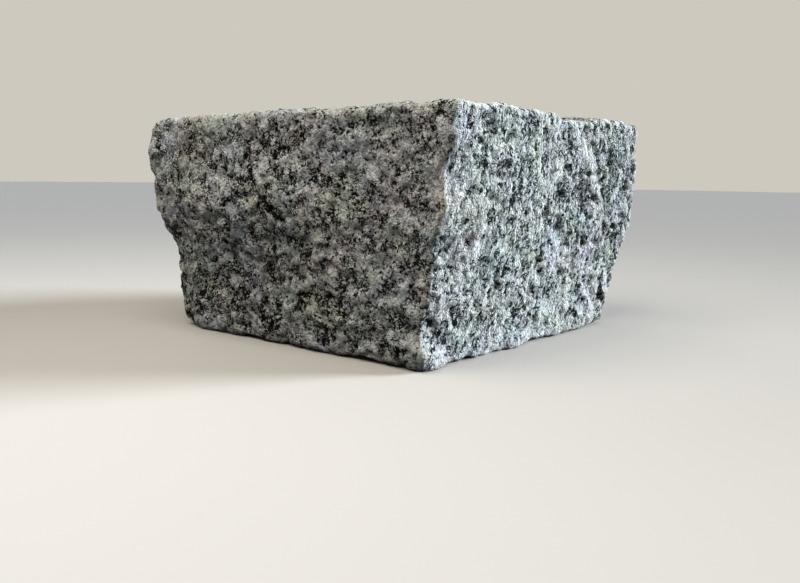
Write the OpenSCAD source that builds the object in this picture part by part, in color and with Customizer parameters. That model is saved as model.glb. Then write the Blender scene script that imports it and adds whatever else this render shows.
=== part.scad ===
// Hewn granite paving sett: one piece of split stone with a level head, sides that draw in
// towards a slightly narrower bed, and worn arrises. It lies on its bed at z = 0, with the
// origin at the middle of its footprint. Front is -Y, right is +X.

/* [Overall size] */
// Length over all, along X
length = 100; // [80:1:140]
// Width over all, along Y
width = 98; // [80:1:140]
// Height over all, from the bed to the head
height = 57; // [40:1:110]

/* [Head corners] */
// How far each corner of the head lies inside the overall size, along X and along Y
head_front_left = [0, 1]; // [0:0.5:10]
head_front_right = [0, 0]; // [0:0.5:10]
head_back_right = [1.5, 0.5]; // [0:0.5:10]
head_back_left = [2, 0]; // [0:0.5:10]

/* [Bed corners] */
// How far each corner of the bed lies inside the overall size, along X and along Y
bed_front_left = [5, 7.5]; // [0:0.5:15]
bed_front_right = [10, 2.5]; // [0:0.5:15]
bed_back_right = [6.5, 10.5]; // [0:0.5:15]
bed_back_left = [7, 4]; // [0:0.5:15]

/* [Undercut] */
// Depths below the head between which each upright corner draws in to its bed corner
draw_front_left = [19, 43]; // [0:1:120]
draw_front_right = [3, 56]; // [0:1:120]
draw_back_right = [22, 57]; // [0:1:120]
draw_back_left = [8, 58]; // [0:1:120]

/* [Arrises] */
// Radius worn on the arris round the head
head_arris = 1.5; // [1:0.5:6]
// Radius worn on the arris round the bed
bed_arris = 1; // [1:0.5:6]
// Width of the uneven rim round the flat of the bed
bed_rim = 8; // [3:1:15]
// Radius worn on each upright arris, from the front left anticlockwise
upright_arrises = [3, 1, 2, 4]; // [1:0.5:8]
// Depth knocked off each corner of the head, from the front left anticlockwise
head_knocks = [2, 0, 0.5, 1.5]; // [0:0.5:6]
// Depth knocked off each corner of the bed, from the front left anticlockwise
bed_knocks = [2.5, 0, 1, 1.5]; // [0:0.5:6]
// Distance from a corner over which its knock fades out
knock_reach = 12; // [6:1:20]

/* [Hewn faces] */
// Depth of the broad hollows left by splitting
hollow_depth = 2; // [0:0.1:4]
// Distance from one broad hollow to the next
hollow_pitch = 26; // [12:1:50]
// Depth of the small flakes left by the chisel
flake_depth = 0.8; // [0:0.1:2]
// Distance from one small flake to the next
flake_pitch = 8; // [5:0.5:20]
// Number that picks one pattern of hollows and flakes
stone_seed = 217; // [1:1:999]

/* [Hidden] */

// Facets along a straight side, round an upright arris, over a worn arris, and up a side
side_steps = 15;
corner_steps = 3;
arris_steps = 3;
rise_steps = 12;
// Rings from the rim of the head to its middle
head_rings = 6;
// Stone left under the bed before it is cut level
bed_spare = 2;
stone_colour = [0.6, 0.6, 0.57];

ring_points = 4 * (side_steps + corner_steps);
half_length = length / 2;
half_width = width / 2;

// Corners run anticlockwise from the front left: the signs of X and Y, then each setting
corner_signs = [[-1, -1], [1, -1], [1, 1], [-1, 1]];
head_insets = [head_front_left, head_front_right, head_back_right, head_back_left];
bed_insets = [bed_front_left, bed_front_right, bed_back_right, bed_back_left];
draws = [draw_front_left, draw_front_right, draw_back_right, draw_back_left];

function mix(a, b, t) = a + (b - a) * t;
function ease(t) = t * t * (3 - 2 * t);
function clamp(t) = min(max(t, 0), 1);

// Share of the noise below which the face keeps its flat, so that hollows stand apart
hollow_start = 0.3;

// Smooth noise from 0 to 1: random heights on a cubic lattice, eased from knot to knot
lattice_size = 16;
lattice = rands(0, 1, pow(lattice_size, 3), stone_seed);
function wrap(i) = (i % lattice_size + lattice_size) % lattice_size;
function knot(i, j, k) = lattice[wrap(i) + lattice_size * (wrap(j) + lattice_size * wrap(k))];
function noise_row(i, j, k, t) = mix(knot(i, j, k), knot(i + 1, j, k), t);
function noise_sheet(i, j, k, t, s) = mix(noise_row(i, j, k, t), noise_row(i, j + 1, k, t), s);
function noise(p) =
    let (i = floor(p.x), j = floor(p.y), k = floor(p.z))
    let (t = ease(p.x - i), s = ease(p.y - j), r = ease(p.z - k))
    mix(noise_sheet(i, j, k, t, s), noise_sheet(i, j, k + 1, t, s), r);

// One corner of the block's plan at a height, its draw spread over at least a facet's rise
least_draw = height / rise_steps;
function plan_corner(c, z) =
    let (spread = max(draws[c][1] - draws[c][0], least_draw))
    let (drawn = ease(clamp((height - z - draws[c][0]) / spread)))
    let (inset = mix(head_insets[c], bed_insets[c], drawn))
    [corner_signs[c].x * (half_length - inset.x), corner_signs[c].y * (half_width - inset.y)];

// Carries a point of the plain rectangle to the out-of-square plan at a height
function to_plan(q, z) =
    let (u = (q.x / half_length + 1) / 2, v = (q.y / half_width + 1) / 2)
    let (front = mix(plan_corner(0, z), plan_corner(1, z), u))
    let (back = mix(plan_corner(3, z), plan_corner(2, z), u))
    mix(front, back, v);

// Radius of the round corner c of a rectangle drawn in by an inset, and its centre. It keeps at
// least this share of the radius worn on the arris.
least_round = 0.25;
function round_radius(c, inset) = upright_arrises[c] * max(1 - inset / upright_arrises[c], least_round);
function round_centre(c, inset) =
    let (r = round_radius(c, inset))
    [corner_signs[c].x * (half_length - inset - r), corner_signs[c].y * (half_width - inset - r)];

// Outline of that rectangle, corner by corner
function on_round(c, inset, turn) =
    round_centre(c, inset) + round_radius(c, inset) * [cos(turn), sin(turn)];
function corner_arc(c, inset) =
    [for (i = [0 : corner_steps]) on_round(c, inset, 90 * (c + 2 + i / corner_steps))];
function side_run(c, inset) =
    let (from = on_round(c, inset, 90 * (c + 3)))
    let (to = on_round((c + 1) % 4, inset, 90 * (c + 3)))
    [for (i = [1 : side_steps - 1]) mix(from, to, i / side_steps)];
function outline(inset) = [for (c = [0 : 3]) each concat(corner_arc(c, inset), side_run(c, inset))];

// Levels from the bed up to the rim of the head: [height, inset of the outline]
bed_levels = [
    for (i = [0 : arris_steps])
        let (a = 90 * i / arris_steps)
        [bed_arris * (1 - sin(a)), bed_arris * (1 - cos(a))]
];
head_levels = [
    for (i = [0 : arris_steps])
        let (a = 90 * i / arris_steps)
        [height - head_arris * (1 - sin(a)), head_arris * (1 - cos(a))]
];
side_levels = [
    for (i = [1 : rise_steps - 1])
        [mix(bed_arris, height - head_arris, i / rise_steps), 0]
];
bed_to_side = [for (i = [arris_steps : -1 : 0]) bed_levels[i]];
levels = concat(bed_to_side, side_levels, head_levels);

// Push at a point from the knock on corner c, along its diagonal, and from all knocks together
function knock(p, c, z, depth) =
    let (q = plan_corner(c, z))
    let (away = [corner_signs[c].x, corner_signs[c].y, z > 0 ? 1 : -1])
    depth * ease(clamp(1 - norm(p - [q.x, q.y, z]) / knock_reach)) * away / norm(away);
function both_knocks(p, c) = knock(p, c, height, head_knocks[c]) + knock(p, c, 0, bed_knocks[c]);
function knocks(p) = [1, 1, 1, 1] * [for (c = [0 : 3]) both_knocks(p, c)];

// Depth of the hewn surface below the smooth block at a point
function relief(p) =
    let (hollow = ease(clamp((noise(p / hollow_pitch) - hollow_start) / (1 - 2 * hollow_start))))
    hollow_depth * hollow + flake_depth * noise(p / flake_pitch);

// Outward direction at a point of the block, which turns gently from one face to the next
edge_turn = 6;
function outward(q, z) =
    let (share = [q.x / half_length, q.y / half_width, 2 * z / height - 1])
    let (pull = [for (s = share) sign(s) * pow(abs(s), edge_turn)])
    pull / norm(pull);

// A point of the smooth block moved in by its knocks and its relief
function hewn(q, z) =
    let (plan = to_plan(q, z))
    let (p = [plan.x, plan.y, z])
    p - knocks(p) - relief(p) * outward(q, z);
function level_ring(level) = [for (q = outline(level[1])) hewn(q, level[0])];

// The flat of the bed lies inside its rim, and is left long below so that it can be cut level
function bed_ring(z) = [
    for (q = outline(bed_arris + bed_rim))
        let (plan = to_plan(q, 0))
        let (push = knocks([plan.x, plan.y, 0]))
        [plan.x - push.x, plan.y - push.y, z]
];
// The head closes ring by ring on its middle
function head_ring(share) = [for (q = outline(head_arris)) hewn(q * share, height)];
raw_points = concat(
    bed_ring(-bed_spare),
    bed_ring(0),
    [for (level = levels) each level_ring(level)],
    [for (i = [1 : head_rings - 1]) each head_ring(1 - i / head_rings)],
    [hewn([0, 0], height)]
);

// Fits the hewn points to the overall size, with the origin under the middle
low = [for (a = [0 : 2]) min([for (p = raw_points) p[a]])];
high = [for (a = [0 : 2]) max([for (p = raw_points) p[a]])];
middle = [(low.x + high.x) / 2, (low.y + high.y) / 2, 0];
fit = [length / (high.x - low.x), width / (high.y - low.y), height / high.z];
points = [for (p = raw_points) [for (a = [0 : 2]) (p[a] - middle[a]) * fit[a]]];

// Faces between one ring and the next, the flat bed, and the fan at the middle of the head
ring_count = len(levels) + head_rings + 1;
function next(i) = (i + 1) % ring_points;
ring_faces = [
    for (r = [0 : ring_count - 2], i = [0 : ring_points - 1])
        let (a = r * ring_points + i, b = r * ring_points + next(i))
        each [[a, a + ring_points, b], [b, a + ring_points, b + ring_points]]
];
bed_face = [for (i = [0 : ring_points - 1]) i];
last_ring = (ring_count - 1) * ring_points;
head_fan = [
    for (i = [0 : ring_points - 1])
        [last_ring + i, ring_count * ring_points, last_ring + next(i)]
];

module sett() {
    color(stone_colour)
        difference() {
            polyhedron(points = points, faces = concat([bed_face], ring_faces, head_fan));
            translate([-length, -width, -2 * bed_spare])
                cube([2 * length, 2 * width, 2 * bed_spare]);
        }
}

sett();
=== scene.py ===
import math

import bmesh
import bpy
from mathutils import Matrix, Vector, noise
from mathutils.geometry import intersect_point_line


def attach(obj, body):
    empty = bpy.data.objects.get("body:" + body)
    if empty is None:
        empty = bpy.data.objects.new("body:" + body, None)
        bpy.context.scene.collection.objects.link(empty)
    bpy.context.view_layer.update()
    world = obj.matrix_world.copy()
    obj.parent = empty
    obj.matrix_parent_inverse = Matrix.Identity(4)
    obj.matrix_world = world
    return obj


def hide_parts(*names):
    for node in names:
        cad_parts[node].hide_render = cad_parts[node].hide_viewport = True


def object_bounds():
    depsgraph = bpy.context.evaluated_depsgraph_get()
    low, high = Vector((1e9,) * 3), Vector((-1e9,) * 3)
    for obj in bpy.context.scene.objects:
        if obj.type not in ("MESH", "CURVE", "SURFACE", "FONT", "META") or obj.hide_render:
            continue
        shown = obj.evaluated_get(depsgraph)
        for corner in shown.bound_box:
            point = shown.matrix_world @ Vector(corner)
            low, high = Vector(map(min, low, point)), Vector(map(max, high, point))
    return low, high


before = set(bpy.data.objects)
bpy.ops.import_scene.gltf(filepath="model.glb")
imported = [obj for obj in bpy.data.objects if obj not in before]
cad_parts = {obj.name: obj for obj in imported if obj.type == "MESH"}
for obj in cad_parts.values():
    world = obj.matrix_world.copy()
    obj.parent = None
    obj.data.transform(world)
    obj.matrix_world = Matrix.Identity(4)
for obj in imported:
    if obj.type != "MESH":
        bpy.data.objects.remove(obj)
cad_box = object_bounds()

MM = 0.001
# Mean of three random values from 0 to 1
MEAN_RANDOM = (0.5, 0.5, 0.5)

# ---------------------------------------------------------------- camera

CAMERA_AZIMUTH = math.radians(36.88)
CAMERA_PITCH = math.radians(7.74)
CAMERA_ROLL = math.radians(0.75)
CAMERA_DISTANCE = 232.9 * MM
# What the camera looks at: a point this far to its right of the stone's axis, and this high
AIM_RIGHT = -0.44 * MM
AIM_HEIGHT = 8.77 * MM
FOCAL_LENGTH = 37.35
SENSOR_WIDTH = 36.0
NEAREST_SEEN = 5 * MM


def make_camera():
    """The camera a little below the head of the stone, facing its front right arris."""
    level_right = Vector((math.cos(CAMERA_AZIMUTH), math.sin(CAMERA_AZIMUTH), 0))
    level_ahead = Vector((-math.sin(CAMERA_AZIMUTH), math.cos(CAMERA_AZIMUTH), 0))
    ahead = level_ahead * math.cos(CAMERA_PITCH) - Vector((0, 0, math.sin(CAMERA_PITCH)))
    level_up = level_right.cross(ahead)
    right = level_right * math.cos(CAMERA_ROLL) + level_up * math.sin(CAMERA_ROLL)
    up = level_up * math.cos(CAMERA_ROLL) - level_right * math.sin(CAMERA_ROLL)
    aim = level_right * AIM_RIGHT + Vector((0, 0, AIM_HEIGHT))

    data = bpy.data.cameras.new("camera")
    data.lens = FOCAL_LENGTH
    data.sensor_width = SENSOR_WIDTH
    data.clip_start = NEAREST_SEEN
    camera = bpy.data.objects.new("camera", data)
    bpy.context.scene.collection.objects.link(camera)
    turn = Matrix((right, up, -ahead)).transposed()
    camera.matrix_world = Matrix.Translation(aim - ahead * CAMERA_DISTANCE) @ turn.to_4x4()
    bpy.context.scene.camera = camera


# ---------------------------------------------------------------- shape of the stone

# Corners of the CAD mesh that are nearer than this are joined
WELD = 0.001 * MM
VOXEL = 0.7 * MM
# Passes of smoothing after the remesh, and how far each moves a point towards its neighbours
SMOOTH_PASSES = 1
SMOOTH_FACTOR = 0.5
# Height up to which the underside counts as the flat that the stone stands on, and the most that
# its normal may rise there
BED_DEPTH = 0.15 * MM
BED_FACING = -0.9
# How near to the sides of the CAD stone's box the relief starts to be pressed flat
BOX_MARGIN = 0.25 * MM
# Passes of smoothing that leave the plain form behind, from which the proud edges are found
FORM_PASSES = 12

# The lengths below, and the points in the lists, are in millimetres. Each kind of relief has a
# size over the face and a height; small planes have the share of their tip that is left.
SWELL_SIZE, SWELL_HEIGHT = 14, 0.30
RIB_SIZE, RIB_HEIGHT = 2.0, 0.60
COARSE_PLANE, COARSE_TIP = 4.5, 0.36
FINE_PLANE, FINE_TIP = 2.2, 0.50
CRUMB_SIZE, CRUMB_HEIGHT = 1.4, 0.22
# How many times longer the ribs are up a face than across it
RIB_STRETCH = 3
# Tells the middles of the small planes further apart, so that each has a tip of its own
TIP_SPREAD = 9
# Raises the relief, so that the stone keeps its size
RELIEF_LIFT = 0.12
# How far an arris stands out from the plain form, and how much less relief an arris and the head
# have than the sides
ARRIS_PROUD = 0.4
ARRIS_CALM = 0.7
HEAD_CALM = 0.5
# Chips along the arrises, which show where their noise is over its start
CHIP_SIZE, CHIP_DEPTH, CHIP_START = 3.2, 1.3, 0.05

# Where mica gathers on each face: the middle of each dark patch and how far it reaches. A patch
# that is listed twice counts double. The dark patches low on the front, near the foot, are partly
# painted shade at the foot as well as mica.
DARK_FRONT = [
    ((7, -48, 52), 5), ((-30, -47, 49), 5), ((-12, -47, 49), 5), ((-2, -47, 49), 7),
    ((-25, -47, 43), 5), ((13, -47, 42), 4), ((34, -47, 42), 3), ((9, -48, 36), 6),
    ((40, -47, 36), 4), ((13, -48, 33), 5), ((-2, -47, 28), 4), ((-22, -44, 27), 5),
    ((-42, -44, 25), 5), ((-42, -44, 25), 5), ((-7, -47, 25), 7), ((7, -46, 24), 5),
    ((40, -47, 24), 5), ((-20, -45, 19), 6), ((7, -46, 18), 4), ((-15, -44, 17), 6),
    ((21, -46, 16), 6), ((17, -46, 13), 4), ((17, -46, 13), 5), ((-34, -44, 12), 7),
    ((-18, -44, 11), 4), ((-31, -43, 10), 8), ((34, -46, 10), 4), ((-17, -44, 9), 6),
    ((-30, -43, 8), 6), ((-20, -44, 8), 7), ((-5, -44, 6), 7), ((28, -46, 5), 5),
]
DARK_RIGHT = [
    ((49, -18, 53), 5), ((49, -18, 52), 6), ((48, 28, 49), 7), ((48, 0, 47), 4),
    ((49, -21, 46), 4), ((48, 31, 45), 5), ((48, -17, 44), 5), ((48, 33, 44), 5),
    ((47, 4, 39), 5), ((49, -24, 38), 5), ((47, 27, 38), 7), ((47, 1, 36), 6),
    ((47, 17, 36), 6), ((46, 14, 33), 8), ((46, 20, 27), 5), ((46, 37, 26), 5),
    ((46, 37, 26), 5), ((45, -9, 25), 5), ((45, -21, 21), 5), ((42, -13, 10), 5),
    ((42, -40, 8), 3),
]
# Where pale feldspar gathers on each face. The pale patches on the front next to the near upright
# arris are partly painted light, where that arris catches the light, as well as feldspar.
PALE_FRONT = [
    ((-13, -47, 55), 4), ((-24, -47, 53), 5), ((-22, -47, 53), 6), ((-12, -47, 53), 5),
    ((9, -48, 53), 6), ((44, -48, 52), 7), ((-26, -47, 51), 7), ((47, -48, 50), 4),
    ((-38, -47, 49), 8), ((27, -47, 45), 6), ((27, -47, 44), 5), ((48, -46, 44), 5),
    ((18, -47, 42), 4), ((31, -47, 42), 5), ((46, -48, 42), 5), ((-5, -48, 40), 4),
    ((45, -48, 39), 6), ((47, -48, 38), 4), ((47, -45, 37), 4), ((47, -47, 36), 6),
    ((46, -47, 33), 4), ((-41, -46, 32), 4), ((34, -47, 32), 5), ((46, -45, 29), 6),
    ((28, -46, 22), 5), ((34, -47, 15), 5), ((-9, -44, 14), 4), ((0, -45, 14), 4),
    ((24, -46, 14), 3), ((20, -46, 4), 5), ((-32, -43, 1), 4),
]
PALE_RIGHT = [
    ((48, -4, 53), 5), ((48, -4, 53), 6), ((49, 34, 53), 4), ((48, -41, 42), 5),
    ((47, -43, 36), 5), ((48, -15, 36), 5), ((48, -38, 35), 8), ((47, -36, 33), 7),
    ((47, -38, 29), 5), ((46, -36, 29), 6), ((45, -10, 28), 5), ((45, 5, 27), 5),
    ((45, 5, 27), 6), ((45, -38, 24), 7), ((44, 4, 22), 7), ((44, 10, 19), 6),
    ((44, 9, 18), 5), ((44, 25, 17), 6), ((43, 14, 10), 6), ((42, -18, 8), 5),
    ((43, 4, 8), 6), ((43, 27, 7), 7), ((43, -44, 4), 6), ((42, -14, 4), 5),
    ((42, -2, 3), 6), ((42, -2, 2), 7), ((42, -2, 2), 7),
]
# The most that overlapping patches of one kind add up to
MOST_SHADE = 1.5
# How much darker each groove and paler each ridge left by the split is painted, for each millimetre
# of its height: painted shade in the grooves and painted highlights on the ridges
LINE_SHADE = 3

# Lean of the split's marks at the foot, how fast they straighten higher up, and how they fan out
SPLIT_LEAN = 0.66
SPLIT_CURVE = 0.008
SPLIT_FAN = 0.000085
# The side whose grain shows through the most dust
DUSTY_SIDE = Vector((1, 0.5, 0.3))
# Hollows left by flakes that came off: middle, reach and depth
HOLLOWS = [
    ((47, 11, 36), 10, 1.3), ((48, -1, 49), 4, 0.6), ((49, -20, 48), 4, 0.6),
    ((42, -31, 1), 5, 0.5), ((48, 30, 50), 8, 0.7), ((49, -25, 57), 9, 0.4),
    ((-47, -46, 39), 8, 0.9), ((42, -46, 9), 6, 0.5), ((49, 7, 57), 20, 0.7),
    ((15, -48, 57), 7, 0.5), ((-48, -48, 57), 6, 0.6), ((24, -46, 0), 9, 0.9),
    ((-14, -44, 0), 7, 0.9), ((49, -19, 57), 5, 0.6), ((48, 47, 48), 8, 0.4),
]
# Places where the stone stands proud: middle, reach and height
HUMPS = [
    ((48, -42, 56), 5, 0.5), ((48, -6, 56), 5, 0.8), ((48, 35, 56), 6, 0.2),
    ((-24, -48, 56), 10, 0.5), ((35, -48, 56), 5, 0.5), ((-49, -46, 48), 6, 0.9),
    ((-46, -45, 28), 7, 0.4), ((42, -12, 1), 7, 0.9), ((40, -45, 2), 7, 0.9),
    ((-32, -43, 1), 6, 0.4), ((46, 42, 26), 4, 0.7), ((47, 44, 37), 4, 0.4),
]

# Places where the near upright arris bulges over to the front or back from it: middle, reach and
# the way it is pushed
BULGES = [
    ((48, -47, 50), 7, (-1.2, -0.3, 0)), ((47, -47, 42), 8, (-1.9, -0.3, 0)),
    ((45, -46, 27), 10, (-1.2, -0.3, 0)), ((43, -46, 10), 7, (-0.9, -0.3, 0)),
]

# Distances from a line on the front or the right are counted little in the depth of that face
ON_FRONT = Vector((1, 0.2, 1))
ON_RIGHT = Vector((0.2, 1, 1))
# Lines left by the split: the face, points along each, then its reach and its height, which is
# less than nothing for a groove
LINES = [
    (ON_FRONT, [(-11, -47, 45), (-9, -48, 41), (-7, -48, 37.5), (-4, -48, 34), (1, -48, 30)],
     1.5, -0.9),
    (ON_RIGHT, [(48, 5, 54), (48, 12, 50), (47, 21, 42.5), (47, 24, 35), (46, 21, 29)],
     2.4, 0.6),
    (ON_RIGHT, [(49, -20, 47), (48, -16, 44), (47.5, -11, 40)], 2.0, 0.5),
]


def ease(t):
    """Rises smoothly from 0 to 1 as t does."""
    t = min(max(t, 0.0), 1.0)
    return t * t * (3 - 2 * t)


def bumps(point, size, offset):
    """Smooth random height from about -1 to 1. Each offset has a pattern of its own."""
    return noise.noise(point / size + Vector(offset))


def split_planes(point, size, offset):
    """Height of a surface broken into small planes, each of a given size and tipped its own way."""
    place = point / size + Vector(offset)
    centre = noise.voronoi(place)[1][0]
    tip = noise.cell_vector(centre * TIP_SPREAD) - Vector(MEAN_RANDOM)
    return tip.dot(place - centre) * size


def swept(y, z):
    """Carries a point of a side to a frame in which the fanned marks of the split are upright."""
    return y - SPLIT_LEAN * z + SPLIT_CURVE * z * z + SPLIT_FAN * y * z * z


def hewn_height(point):
    """Height of the hewn surface over the plain one at a point, both in millimetres."""
    leaning = Vector((point.x, swept(point.y, point.z), point.z / RIB_STRETCH))
    swell = SWELL_HEIGHT * bumps(point, SWELL_SIZE, (3, 8, 1))
    ribs = RIB_HEIGHT * bumps(leaning, RIB_SIZE, (9, 2, 4))
    coarse = COARSE_TIP * split_planes(point, COARSE_PLANE, (5, 1, 7))
    fine = FINE_TIP * split_planes(point, FINE_PLANE, (2, 6, 3))
    crumbs = CRUMB_HEIGHT * bumps(point, CRUMB_SIZE, (4, 4, 9))
    return swell + ribs + coarse + fine + crumbs


def nearness(point, middle, reach):
    """1 at the middle of a round place, falling smoothly to 0 at its reach."""
    return ease(1 - (point - Vector(middle)).length / reach)


def patched(point, patches):
    """How far inside some patches a point is, where overlapping patches add up."""
    return min(sum(nearness(point, *patch) for patch in patches), MOST_SHADE)


def mounded(point, mounds):
    """Height at a point of some rounded mounds, each with its middle, its reach and its height."""
    return sum(height * nearness(point, middle, reach) for middle, reach, height in mounds)


def pushed(point):
    """The way and distance by which the bulges of the arris move a point."""
    pushes = [Vector(push) * nearness(point, middle, reach) for middle, reach, push in BULGES]
    return sum(pushes, Vector())


def distance_to_line(point, line, weights):
    """Distance from a point to a line through some points, with weights for X, Y and Z."""
    distances = []
    for start, end in zip(line, line[1:]):
        start, end = Vector(start), Vector(end)
        share = intersect_point_line(point, start, end)[1]
        nearest = start.lerp(end, min(max(share, 0.0), 1.0))
        distances.append(((point - nearest) * weights).length)
    return min(distances)


def traced(point):
    """Height at a point of the lines left by the split."""
    return sum(height * ease(1 - distance_to_line(point, line, weights) / reach)
               for weights, line, reach, height in LINES)


def fine_copy(node):
    """A copy of a CAD node's mesh with its corners joined, made into even small squares."""
    shape = bmesh.new()
    shape.from_mesh(node.data)
    bmesh.ops.remove_doubles(shape, verts=shape.verts, dist=WELD)
    mesh = bpy.data.meshes.new("hewn_stone")
    shape.to_mesh(mesh)
    shape.free()
    stone = bpy.data.objects.new("hewn_stone", mesh)
    bpy.context.scene.collection.objects.link(stone)
    remesh = stone.modifiers.new("even squares", "REMESH")
    remesh.mode = "VOXEL"
    remesh.voxel_size = VOXEL
    graph = bpy.context.evaluated_depsgraph_get()
    even = bpy.data.meshes.new_from_object(stone.evaluated_get(graph))
    stone.modifiers.clear()
    stone.data = even
    even.materials.clear()
    return stone


def pressed(depth):
    """A depth inside the box, drawn out gently so that it never falls below nothing."""
    return depth if depth > BOX_MARGIN else BOX_MARGIN * math.exp(depth / BOX_MARGIN - 1)


def keep_in_box(point):
    """A point close to this one that is inside the CAD stone's box."""
    low, high = cad_box
    raised = [a + pressed(p - a) for p, a in zip(point, low)]
    return Vector([b - pressed(b - p) for p, b in zip(raised, high)])


def smooth(shape, passes):
    """Evens out a mesh."""
    for _ in range(passes):
        bmesh.ops.smooth_vert(shape, verts=shape.verts, factor=SMOOTH_FACTOR,
                              use_axis_x=True, use_axis_y=True, use_axis_z=True)
    shape.normal_update()


def plain_form(shape):
    """A copy of a mesh, smoothed until only its plain form is left."""
    form = shape.copy()
    smooth(form, FORM_PASSES)
    form.verts.ensure_lookup_table()
    return form


def proudness(vert, form):
    """How far a vertex stands out from the plain form in millimetres, and the form's normal."""
    plain = form.verts[vert.index]
    return (vert.co - plain.co).dot(plain.normal) / MM, plain.normal


def hewn_place(vert, form):
    """Where a vertex of the stone comes to lie when its faces are broken up."""
    point = vert.co / MM
    proud, normal = proudness(vert, form)
    arris = ease(proud / ARRIS_PROUD)
    chip = CHIP_DEPTH * max(bumps(point, CHIP_SIZE, (8, 5, 2)) - CHIP_START, 0)
    # The head was dressed flatter than the sides
    roughness = (1 - ARRIS_CALM * arris) * (1 - HEAD_CALM * ease(normal.z))
    lift = roughness * hewn_height(point) + RELIEF_LIFT - arris * chip
    lift += mounded(point, HUMPS) - mounded(point, HOLLOWS) + traced(point)
    return keep_in_box(vert.co + (normal * lift + pushed(point)) * MM)


def hew(shape):
    """Breaks up the stone's faces with the relief that splitting leaves, apart from its bed."""
    form = plain_form(shape)
    off_bed = [v for v in shape.verts if v.co.z >= BED_DEPTH or v.normal.z >= BED_FACING]
    places = [hewn_place(vert, form) for vert in off_bed]
    for vert, place in zip(off_bed, places):
        vert.co = place
    form.free()


def mark(shape):
    """Notes at each vertex how proud, how pale and how dusty it is, for the granite to follow. How
    pale holds blotches of grain together with painted shade and painted light.
    """
    form = plain_form(shape)
    proud = shape.verts.layers.float.new("proud")
    shade = shape.verts.layers.float.new("shade")
    dust = shape.verts.layers.float.new("dust")
    pale_patches = PALE_FRONT + PALE_RIGHT
    dark_patches = DARK_FRONT + DARK_RIGHT
    for vert in shape.verts:
        point = vert.co / MM
        vert[proud], normal = proudness(vert, form)
        paleness = patched(point, pale_patches) - patched(point, dark_patches)
        # Grooves are painted darker and ridges paler: painted shade and painted highlights
        vert[shade] = paleness + LINE_SHADE * traced(point)
        vert[dust] = ease(0.5 + normal.dot(DUSTY_SIDE))
    form.free()


def make_stone(node):
    """The hewn stone, made from the CAD stone's mesh."""
    stone = fine_copy(node)
    shape = bmesh.new()
    shape.from_mesh(stone.data)
    smooth(shape, SMOOTH_PASSES)
    hew(shape)
    mark(shape)
    shape.to_mesh(stone.data)
    shape.free()
    stone.data.polygons.foreach_set("use_smooth", [True] * len(stone.data.polygons))
    stone.data.materials.append(granite())
    return stone


# ---------------------------------------------------------------- materials

# Sizes in millimetres of the grains, of the finer ones that break them up and of the mica flakes
COARSE_GRAIN = 1.7
FINE_GRAIN = 0.75
FLAKE_SIZE = 1.5
# How many times longer the streaks and the flakes are up a face than across it
STREAK_STRETCH = 3.5
FLAKE_STRETCH = 1.5
# Twice the furthest that the edges of the grains wander, in millimetres
GRAIN_BEND = 2.0
# Roughness of the smoothest grains, and how much rougher the roughest are
LEAST_ROUGHNESS = 0.5
ROUGHNESS_SPREAD = 0.35
SPECULAR = 0.05
# Colour of the stone for each tone, from black mica to the palest feldspar
TONES = [
    (0.0, (0.0025, 0.0024, 0.0018)),
    (0.1, (0.0112, 0.0110, 0.0088)),
    (0.2, (0.0384, 0.0380, 0.0330)),
    (0.3, (0.0920, 0.0920, 0.0840)),
    (0.4, (0.1680, 0.1700, 0.1610)),
    (0.5, (0.2640, 0.2690, 0.2590)),
    (0.6, (0.3600, 0.3680, 0.3670)),
    (0.7, (0.4520, 0.4630, 0.4630)),
    (0.8, (0.5100, 0.5250, 0.5270)),
    (1.0, (0.5550, 0.5750, 0.5800)),
]
# Tint of the dusty side for each tone, bluest where the stone is darkest
DUSTY_TINTS = [
    (0.1, (0.60, 1.0, 1.25)),
    (0.3, (0.82, 1.0, 1.10)),
    (0.5, (0.93, 1.0, 1.03)),
    (0.75, (1.0, 1.0, 0.99)),
]
WORN_TINT = (1.0, 0.99, 0.94)


def add(tree, kind, inputs=None, **settings):
    """A new node. Each input is a plain value or another node's output."""
    node = tree.nodes.new(kind)
    for name, value in settings.items():
        setattr(node, name, value)
    for name, value in (inputs or {}).items():
        if isinstance(value, bpy.types.NodeSocket):
            tree.links.new(value, node.inputs[name])
        else:
            node.inputs[name].default_value = value
    return node


def new_material(name):
    """A material with only its output node, and its node tree."""
    material = bpy.data.materials.new(name)
    material.use_nodes = True
    material.node_tree.nodes.clear()
    return material, material.node_tree


def maths(tree, operation, a, b=0.0, c=0.0):
    """The output of a Math node."""
    return add(tree, "ShaderNodeMath", {0: a, 1: b, 2: c}, operation=operation).outputs[0]


def vector_maths(tree, operation, a, b, c=(0.0, 0.0, 0.0)):
    """The vector output of a Vector Math node."""
    return add(tree, "ShaderNodeVectorMath", {0: a, 1: b, 2: c}, operation=operation).outputs[0]


def scaled(tree, vector, factor):
    """A vector made so many times longer."""
    node = add(tree, "ShaderNodeVectorMath", {0: vector, "Scale": factor}, operation="SCALE")
    return node.outputs[0]


def summed(tree, total, parts):
    """A total to which each part's distance from its middle value is added, times its share."""
    for part, share, middle in parts:
        offset = maths(tree, "MULTIPLY_ADD", part, share, -share * middle)
        total = maths(tree, "ADD", total, offset)
    return total


def ramp(tree, factor, stops):
    """The colour output of a colour ramp with stops of (place, colour)."""
    node = add(tree, "ShaderNodeValToRGB", {"Fac": factor})
    elements = node.color_ramp.elements
    while len(elements) > 1:
        elements.remove(elements[-1])
    elements[0].position, elements[0].color = stops[0][0], (*stops[0][1], 1)
    for place, colour in stops[1:]:
        elements.new(place).color = (*colour, 1)
    return node.outputs["Color"]


def span(tree, value, low, high, to_low=0.0, to_high=1.0):
    """A value carried smoothly from one range to another, and held at its ends."""
    inputs = {"Value": value, "From Min": low, "From Max": high,
              "To Min": to_low, "To Max": to_high}
    node = add(tree, "ShaderNodeMapRange", inputs, interpolation_type="SMOOTHSTEP")
    return node.outputs["Result"]


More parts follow.
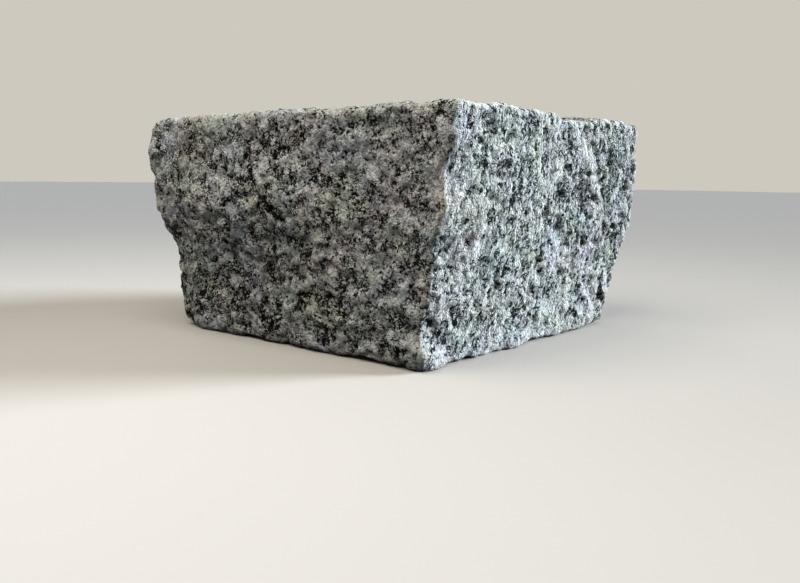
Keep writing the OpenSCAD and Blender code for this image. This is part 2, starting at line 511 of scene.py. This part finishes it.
def blend_colours(tree, factor, a, b, mode="MIX"):
    """The colour output of a Mix node from a to b."""
    node = add(tree, "ShaderNodeMix", data_type="RGBA", blend_type=mode)
    for socket, value in (("Factor_Float", factor), ("A_Color", a), ("B_Color", b)):
        found = next(s for s in node.inputs if s.identifier == socket)
        if isinstance(value, bpy.types.NodeSocket):
            tree.links.new(value, found)
        else:
            found.default_value = value if isinstance(value, float) else (*value, 1)
    return next(s for s in node.outputs if s.identifier == "Result_Color")


def shifted(tree, point, shift):
    """A point moved along, by a shift that picks a pattern of its own."""
    return vector_maths(tree, "ADD", point, (shift, shift, shift))


def noise_node(tree, point, per_mm, shift, detail=2.0, roughness=0.5):
    """A Noise node of so many waves per millimetre."""
    inputs = {"Vector": shifted(tree, point, shift), "Scale": per_mm,
              "Detail": detail, "Roughness": roughness}
    return add(tree, "ShaderNodeTexNoise", inputs)


def waves(tree, point, per_mm, shift, **looks):
    """The value of a noise, from 0 to 1."""
    return noise_node(tree, point, per_mm, shift, **looks).outputs["Fac"]


def grains(tree, point, size, shift):
    """A Voronoi node whose cells are grains of a given size, and the point that it is given."""
    moved = shifted(tree, point, shift)
    inputs = {"Vector": moved, "Scale": 1 / size, "Randomness": 1.0}
    return add(tree, "ShaderNodeTexVoronoi", inputs, feature="F1"), moved


def random_parts(tree, cells):
    """Three random values of each cell, from 0 to 1."""
    return add(tree, "ShaderNodeSeparateColor", {"Color": cells.outputs["Color"]}).outputs


def cleavage(tree, cells, point):
    """Height of grains that each broke along a plane tipped its own way."""
    tip = vector_maths(tree, "SUBTRACT", cells.outputs["Color"], MEAN_RANDOM)
    arm = vector_maths(tree, "SUBTRACT", point, cells.outputs["Position"])
    node = add(tree, "ShaderNodeVectorMath", {0: tip, 1: arm}, operation="DOT_PRODUCT")
    return node.outputs["Value"]


def bent_point(tree, point):
    """A point that wanders a little, which makes the edges of the grains ragged."""
    wander = noise_node(tree, point, 0.5, 0.0, roughness=0.6).outputs["Color"]
    wander = vector_maths(tree, "SUBTRACT", wander, MEAN_RANDOM)
    return vector_maths(tree, "ADD", point, scaled(tree, wander, GRAIN_BEND))


def swept_point(tree, point, stretch):
    """A point in the frame of swept(), in which what is drawn comes out longer up a face."""
    x, y, z = add(tree, "ShaderNodeSeparateXYZ", {"Vector": point}).outputs
    curved = maths(tree, "MULTIPLY_ADD", z, SPLIT_CURVE, -SPLIT_LEAN)
    fan = maths(tree, "MULTIPLY", maths(tree, "MULTIPLY", z, z), SPLIT_FAN)
    sweep = maths(tree, "MULTIPLY_ADD", curved, z, maths(tree, "MULTIPLY_ADD", fan, y, y))
    inputs = {"X": x, "Y": sweep, "Z": maths(tree, "DIVIDE", z, stretch)}
    return add(tree, "ShaderNodeCombineXYZ", inputs).outputs[0]


def mica_flakes(tree, point, specks, clusters):
    """1 on ragged dark flakes that lie along the marks of the split, and 0 between them."""
    flakes, _ = grains(tree, swept_point(tree, point, FLAKE_STRETCH), FLAKE_SIZE, 23.0)
    size = random_parts(tree, flakes)[1]
    rim = summed(tree, flakes.outputs["Distance"], [
        (size, 0.4, 0.0), (specks, 0.5, 0.5), (clusters, 0.5, 0.5)])
    return span(tree, rim, 0.38, 0.60, 1.0, 0.0)


def mica_and_foot_shade(tree, clusters, z, dust):
    """How far the clusters of mica stand out. They do so most near the foot, and least in dust.
    Towards the foot they are also painted a little darker, as painted shade.
    """
    # Painted shade: the clusters are a little darker towards the foot
    gathered = maths(tree, "SUBTRACT", clusters, span(tree, z, 5.0, 35.0, 0.516, 0.5))
    gathered = maths(tree, "MULTIPLY", gathered, span(tree, z, 5.0, 50.0, 1.34, 1.0))
    return maths(tree, "MULTIPLY", gathered, maths(tree, "MULTIPLY_ADD", dust, -0.42, 1.0))


def dusty_marks(tree, streaks, y, z):
    """Pale leaning streaks of dust, palest near the foot and greyer high up at the back."""
    marks = maths(tree, "MULTIPLY_ADD", streaks, 1.2, -0.58)
    marks = maths(tree, "ADD", marks, span(tree, z, 0.0, 35.0, 0.085, 0.0))
    at_back = span(tree, y, -10.0, 40.0, 0.0, -0.055)
    return maths(tree, "ADD", marks, maths(tree, "MULTIPLY", span(tree, z, 12.0, 28.0), at_back))


def stone_colour(tree, point, tone, dust, worn):
    """The colour of a tone, with slow drifts of colour and the tints of dust and worn edges."""
    # The drifts are pinkish, greenish, yellowish and bluish by turns
    drift = noise_node(tree, point, 0.10, 71.0, detail=3.0, roughness=0.6).outputs["Color"]
    drift = vector_maths(tree, "MULTIPLY_ADD", drift, (0.36, 0.20, 0.60), (0.82, 0.90, 0.70))
    drifting = maths(tree, "MULTIPLY_ADD", dust, -0.2, 1.0)
    colour = blend_colours(tree, drifting, ramp(tree, tone, TONES), drift, "MULTIPLY")
    colour = blend_colours(tree, dust, colour, ramp(tree, tone, DUSTY_TINTS), "MULTIPLY")
    return blend_colours(tree, worn, colour, WORN_TINT, "MULTIPLY")


def granite():
    """Split granite: pale feldspar, grey quartz and black mica in ragged clusters."""
    material, tree = new_material("granite")
    place = add(tree, "ShaderNodeTexCoord").outputs["Object"]
    point = scaled(tree, place, 1 / MM)
    bent = bent_point(tree, point)
    _, y, z = add(tree, "ShaderNodeSeparateXYZ", {"Vector": bent}).outputs
    proud, shade, dust = (
        add(tree, "ShaderNodeAttribute", attribute_name=name).outputs["Fac"]
        for name in ("proud", "shade", "dust"))

    coarse, coarse_point = grains(tree, bent, COARSE_GRAIN, 0.0)
    fine, fine_point = grains(tree, bent, FINE_GRAIN, 57.0)
    fine_random = random_parts(tree, fine)
    clusters = waves(tree, point, 0.25, 11.0, roughness=0.9)
    broad = waves(tree, point, 0.13, 31.0, detail=1.0)
    specks = waves(tree, point, 1.7, 7.0, detail=1.0, roughness=1.0)
    mica = waves(tree, bent, 0.9, 91.0, detail=3.0, roughness=0.7)
    swept_bent = swept_point(tree, bent, STREAK_STRETCH)
    streaks = waves(tree, swept_bent, 1.0, 3.0, detail=3.0, roughness=0.7)

    # Mica flakes lie in the pits of the dusty side, and mica grains everywhere
    pits = maths(tree, "MULTIPLY", mica_flakes(tree, bent, specks, clusters), dust)
    grained = maths(tree, "ADD", mica, maths(tree, "MULTIPLY", clusters, 0.5))
    mica_grains = span(tree, grained, 0.64, 0.69, 1.0, 0.0)
    # Pale feldspar is plainer than the dark clusters, and dust hides the specks
    busy = span(tree, maths(tree, "MULTIPLY_ADD", shade, 0.1, clusters), 0.40, 0.62, 1.3, 0.6)
    busy = maths(tree, "MULTIPLY", busy, maths(tree, "MULTIPLY_ADD", dust, -0.47, 1.0))
    speckle = maths(tree, "MULTIPLY", maths(tree, "SUBTRACT", specks, 0.5), busy)
    worn = span(tree, proud, 0.10, 0.45)

    # Each part of the tone, its share and its middle value
    tone = summed(tree, 0.5, [
        (random_parts(tree, coarse)[0], 0.22, 0.5),
        (fine_random[0], 0.32, 0.5),
        (mica_and_foot_shade(tree, clusters, z, dust), 1.9, 0.0),
        (broad, 0.38, 0.5),
        (speckle, 2.45, 0.0),
        # Patches and lines of the grain, with painted shade at the foot and in the grooves and
        # painted light by the near arris and on the ridges
        (shade, 0.22, 0.0),
        # Paler where the stone stands proud and darker in its hollows: wear on the edges and
        # painted shade in the hollows
        (proud, 0.25, 0.0),
        (worn, 0.18, 0.0),
        # Bruises on the proudest edges, and the rim of the foot painted paler: bruising and painted
        # light where the rim turns under
        (span(tree, proud, 0.35, 0.75), 0.26, 0.0),
        (span(tree, z, 0.3, 2.8, 1.0, 0.0), 0.22, 0.0),
        (pits, -0.44, 0.15),
        (mica_grains, -0.35, 0.15),
    ])
    marks = dusty_marks(tree, streaks, y, z)
    tone = maths(tree, "ADD", tone, maths(tree, "MULTIPLY", dust, marks))

    # Each part of the height of the broken grains, in millimetres
    height = summed(tree, 0.0, [
        (cleavage(tree, coarse, coarse_point), 0.5, 0.0),
        (cleavage(tree, fine, fine_point), 0.7, 0.0),
        (speckle, 0.35, 0.0),
        (streaks, 1.8, 0.0),
        (pits, -0.2, 0.0),
    ])
    bump = add(tree, "ShaderNodeBump", {"Height": height, "Strength": 1.0, "Distance": 1 * MM})
    inputs = {
        "Base Color": stone_colour(tree, point, tone, dust, worn),
        "Roughness": maths(tree, "MULTIPLY_ADD", fine_random[2], ROUGHNESS_SPREAD, LEAST_ROUGHNESS),
        "Normal": bump.outputs["Normal"],
        "Specular IOR Level": SPECULAR,
    }
    shader = add(tree, "ShaderNodeBsdfPrincipled", inputs)
    add(tree, "ShaderNodeOutputMaterial", {"Surface": shader.outputs[0]})
    return material


# ---------------------------------------------------------------- floor and light

FLOOR_HALF = 4.0
FLOOR_COLOUR = (0.42, 0.403, 0.387)
# What the floor throws back up at the stone
FLOOR_BOUNCE = (0.05, 0.05, 0.05)
WALL_COLOUR = (0.617, 0.584, 0.515)
# Even light from all round
FILL_COLOUR = (0.98, 0.97, 0.90)
FILL_STRENGTH = 0.175
# Openings of the room: name, then azimuth, elevation and width in degrees, strength and colour
OPENINGS = [
    ("window", 138, 18, 26, 8.6, (0.92, 1.0, 1.06)),
    ("doorway", 250, 25, 40, 0.7, (1.0, 0.98, 0.93)),
]
OPENING_DISTANCE = 1.5
# The soft lamp of the room
ROOM_POWER = 1.04
ROOM_COLOUR = (1.0, 0.945, 0.84)
ROOM_LAMP_SIZE = 0.25
ROOM_LAMP_AZIMUTH, ROOM_LAMP_ELEVATION = 0, 62
ROOM_LAMP_DISTANCE = 0.30


def seen_rays(tree):
    """1 for the rays in which the background is seen, and 0 for those that light the stone."""
    rays = add(tree, "ShaderNodeLightPath").outputs
    seen = maths(tree, "MAXIMUM", rays["Is Camera Ray"], rays["Is Glossy Ray"])
    return maths(tree, "MAXIMUM", seen, rays["Is Transmission Ray"])


def make_floor():
    """A plain pale floor under the stone, which throws little light back up at its sides."""
    shape = bmesh.new()
    bmesh.ops.create_grid(shape, x_segments=1, y_segments=1, size=FLOOR_HALF)
    mesh = bpy.data.meshes.new("floor")
    shape.to_mesh(mesh)
    shape.free()
    floor = bpy.data.objects.new("floor", mesh)
    bpy.context.scene.collection.objects.link(floor)
    material, tree = new_material("pale floor")
    colour = blend_colours(tree, seen_rays(tree), FLOOR_BOUNCE, FLOOR_COLOUR)
    shader = add(tree, "ShaderNodeBsdfDiffuse", {"Color": colour})
    add(tree, "ShaderNodeOutputMaterial", {"Surface": shader.outputs[0]})
    mesh.materials.append(material)


def place_lamp(data, azimuth, elevation, distance):
    """Puts a lamp at a distance from the stone, and turns it to face the stone."""
    turn, rise = math.radians(azimuth), math.radians(elevation)
    away = Vector((
        math.sin(turn) * math.cos(rise),
        -math.cos(turn) * math.cos(rise),
        math.sin(rise),
    ))
    lamp = bpy.data.objects.new(data.name, data)
    lamp.location = away * distance
    lamp.rotation_euler = (-away).to_track_quat("-Z", "Y").to_euler()
    bpy.context.scene.collection.objects.link(lamp)


def make_opening(name, azimuth, elevation, width, strength, colour):
    """Even light from a wide opening far off, such as a window. The angles are in degrees."""
    data = bpy.data.lights.new(name, "SUN")
    data.angle = math.radians(width)
    data.energy = strength
    data.color = colour
    place_lamp(data, azimuth, elevation, OPENING_DISTANCE)


def make_room_lamp():
    """A soft square lamp close above the front of the stone."""
    data = bpy.data.lights.new("room", "AREA")
    data.shape = "SQUARE"
    data.size = ROOM_LAMP_SIZE
    data.energy = ROOM_POWER
    data.color = ROOM_COLOUR
    place_lamp(data, ROOM_LAMP_AZIMUTH, ROOM_LAMP_ELEVATION, ROOM_LAMP_DISTANCE)


def make_world():
    """Even light from all round, behind which the camera sees a plain pale wall."""
    world = bpy.data.worlds.new("studio")
    world.use_nodes = True
    tree = world.node_tree
    tree.nodes.clear()
    fill_light = {"Color": (*FILL_COLOUR, 1), "Strength": FILL_STRENGTH}
    fill = add(tree, "ShaderNodeBackground", fill_light)
    wall = add(tree, "ShaderNodeBackground", {"Color": (*WALL_COLOUR, 1), "Strength": 1.0})
    shades = {0: seen_rays(tree), 1: fill.outputs[0], 2: wall.outputs[0]}
    both = add(tree, "ShaderNodeMixShader", shades)
    add(tree, "ShaderNodeOutputWorld", {"Surface": both.outputs[0]})
    bpy.context.scene.world = world


make_camera()
make_floor()
make_world()
for opening in OPENINGS:
    make_opening(*opening)
make_room_lamp()
bpy.context.scene.view_settings.view_transform = "Standard"

hewn_stone = make_stone(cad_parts["sett"])
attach(hewn_stone, "root")
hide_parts("sett")
